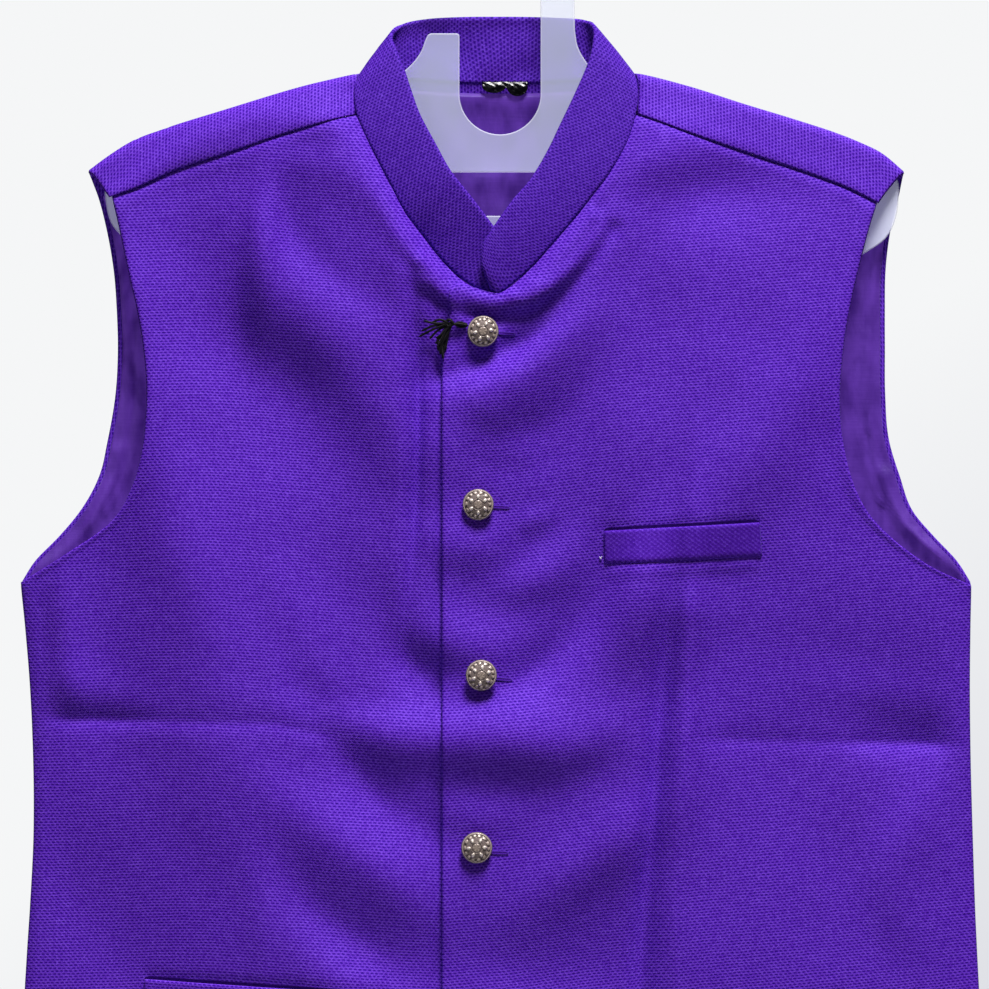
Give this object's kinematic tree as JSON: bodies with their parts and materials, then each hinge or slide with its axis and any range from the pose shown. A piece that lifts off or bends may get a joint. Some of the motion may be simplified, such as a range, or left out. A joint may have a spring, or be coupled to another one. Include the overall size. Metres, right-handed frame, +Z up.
{
  "type": "nehru jacket on a plastic hanger",
  "caption": "Sleeveless nehru jacket in purple hopsack with a band collar, domed metal buttons, welt pockets and satin lining, hung on a flat plastic hanger.",
  "frame": {"origin": "inside top of the hanger's hook, where a rail or wall hook carries the whole part", "axes": "+Z up, -Y towards the viewer and the garment's front, +X towards the wearer's left"},
  "size_m": [0.5694, 0.0555, 0.8071],
  "materials": {
    "shell_cloth": "purple hopsack weave with a soft sheen",
    "lining": "smooth purple satin",
    "button_metal": "antique brass with a worn raised flower",
    "label": "bare black satin tape",
    "hanger_plastic": "frosted translucent plastic with bright edges"
  },
  "bodies": {
    "root": {"front_left": "shell_cloth", "front_right": "shell_cloth", "back": "shell_cloth", "collar": "shell_cloth", "chest_welt": "shell_cloth", "hip_welt_left": "shell_cloth", "hip_welt_right": "shell_cloth", "back_lining": "lining", "button_1": "button_metal", "button_2": "button_metal", "button_3": "button_metal", "button_4": "button_metal", "button_5": "button_metal", "label": "label", "hanger": "hanger_plastic"}
  },
  "joints": []
}
